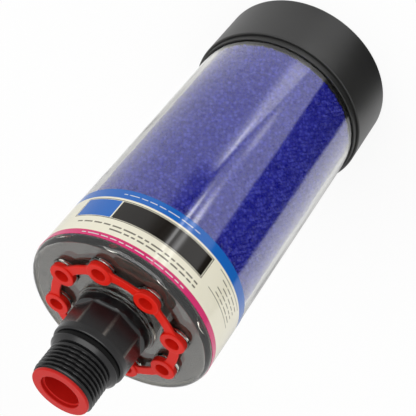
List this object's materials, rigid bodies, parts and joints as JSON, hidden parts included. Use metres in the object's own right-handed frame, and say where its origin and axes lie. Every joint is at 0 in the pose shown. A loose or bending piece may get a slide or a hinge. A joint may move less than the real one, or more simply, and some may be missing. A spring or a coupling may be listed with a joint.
{
  "type": "silica gel breather",
  "caption": "Clear cylindrical desiccant breather with blue gel, a black end cap, a black threaded spigot and red pull-out transit plugs.",
  "frame": {"origin": "centre of the end cap's flat face, on which the breather stands", "axes": "+Z along the breather's axis from the end cap to the threaded spigot; -Y is the side with the label's dark panel"},
  "size_m": [0.1092, 0.1092, 0.2677],
  "materials": {
    "black_cap": "satin moulded",
    "seal_rubber": "dull",
    "clear_polycarbonate": "clear, polished",
    "printed_film": "printed, glossy film",
    "black_nylon": "semi-gloss moulded",
    "filter_felt": "fibrous",
    "grey_foam": "open-cell",
    "blue_gel": "round glassy beads",
    "white_plastic": "extruded",
    "red_plastic": "soft moulded"
  },
  "bodies": {
    "breather": {"end_cap": "black_cap", "cap_seal": "seal_rubber", "housing": "clear_polycarbonate", "label": "printed_film", "outlet_plate": "black_nylon", "outlet_filter": "filter_felt", "outlet_foam": "grey_foam", "silica_gel": "blue_gel", "inlet_filter": "filter_felt", "inlet_foam": "grey_foam", "standpipe": "white_plastic", "thread_adapter": "black_nylon", "adapter_seal": "seal_rubber"},
    "end_plug": {"end_plug": "red_plastic"},
    "inlet_plugs": {"inlet_plug_ring": "red_plastic"}
  },
  "joints": [
    {"name": "end_plug_pull", "type": "slide", "parent": "breather", "child": "end_plug", "axis": [0, 0, 1], "range_m": [0, 0.03]},
    {"name": "inlet_plugs_pull", "type": "slide", "parent": "breather", "child": "inlet_plugs", "axis": [0, 0, 1], "range_m": [0, 0.075]}
  ]
}
